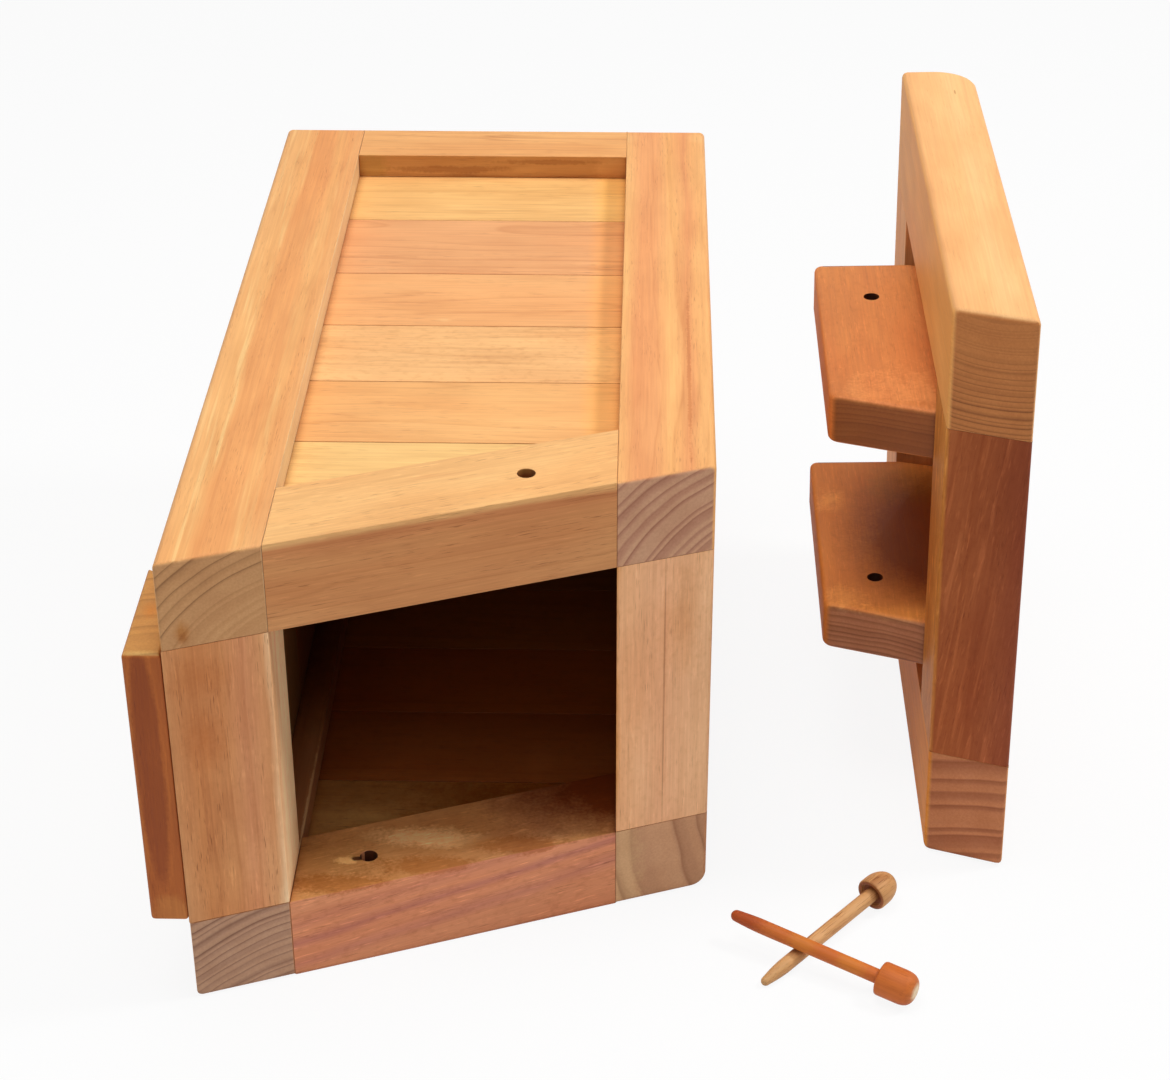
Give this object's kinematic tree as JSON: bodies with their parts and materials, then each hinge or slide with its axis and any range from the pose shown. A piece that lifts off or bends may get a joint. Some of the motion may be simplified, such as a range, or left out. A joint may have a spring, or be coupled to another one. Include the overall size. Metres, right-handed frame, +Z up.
{
  "type": "bird nest box",
  "caption": "Teak nest box of boards framed by corner posts, lying open on its side, with its lift-off pitched roof standing beside it and the locking pegs laid in front.",
  "frame": {"origin": "middle of the whole set's bounding box, on the floor it lies on", "axes": "+Z up as it lies, +Y from the open top of the box towards its floor, +X from the box's back towards its front"},
  "size_m": [0.3384, 0.3973, 0.2547],
  "materials": {
    "box_frame": "sanded, bare",
    "box_boards": "sanded, bare",
    "hanging_batten": "sanded, bare",
    "roof_frame": "sanded, bare",
    "roof_boards": "sanded, bare",
    "roof_battens": "sanded, bare",
    "red_peg": "sanded, bare",
    "tan_peg": "sanded, bare",
    "steel_screws": "satin"
  },
  "bodies": {
    "box": {"back_board_1": "box_boards", "back_board_2": "box_boards", "back_board_3": "box_boards", "back_board_4": "box_boards", "back_board_5": "box_boards", "back_board_6": "box_boards", "back_bottom_rail": "box_frame", "back_left_post": "box_frame", "back_right_post": "box_frame", "back_top_rail": "box_frame", "floor_board_1": "box_boards", "floor_board_2": "box_boards", "floor_board_3": "box_boards", "front_board_1": "box_boards", "front_board_2": "box_boards", "front_board_3": "box_boards", "front_board_4": "box_boards", "front_board_5": "box_boards", "front_bottom_rail": "box_frame", "front_left_post": "box_frame", "front_right_post": "box_frame", "front_top_rail": "box_frame", "hanging_batten": "hanging_batten", "hanging_batten_screws": "steel_screws", "left_board_1": "box_boards", "left_board_2": "box_boards", "left_board_3": "box_boards", "left_board_4": "box_boards", "left_board_5": "box_boards", "left_board_6": "box_boards", "left_bottom_rail": "box_frame", "left_top_rail": "box_frame", "right_board_1": "box_boards", "right_board_2": "box_boards", "right_board_3": "box_boards", "right_board_4": "box_boards", "right_board_5": "box_boards", "right_board_6": "box_boards", "right_bottom_rail": "box_frame", "right_top_rail": "box_frame"},
    "roof": {"roof_batten_screws": "steel_screws", "roof_board_1": "roof_boards", "roof_board_2": "roof_boards", "roof_board_3": "roof_boards", "roof_front_rail": "roof_frame", "roof_left_batten": "roof_battens", "roof_left_stile": "roof_frame", "roof_rear_rail": "roof_frame", "roof_right_batten": "roof_battens", "roof_right_stile": "roof_frame"},
    "under_peg": {"under_peg_head": "tan_peg", "under_peg_shank": "tan_peg"},
    "over_peg": {"over_peg_head": "red_peg", "over_peg_shank": "red_peg"}
  },
  "joints": [
    {"name": "roof_lift", "type": "slide", "parent": "box", "child": "roof", "axis": [0, 0, 1], "range_m": [0, 0.26]},
    {"name": "under_peg_lift", "type": "slide", "parent": "box", "child": "under_peg", "axis": [0, 0, 1], "range_m": [0, 0.1]},
    {"name": "over_peg_lift", "type": "slide", "parent": "under_peg", "child": "over_peg", "axis": [0, 0, 1], "range_m": [0, 0.1]}
  ]
}
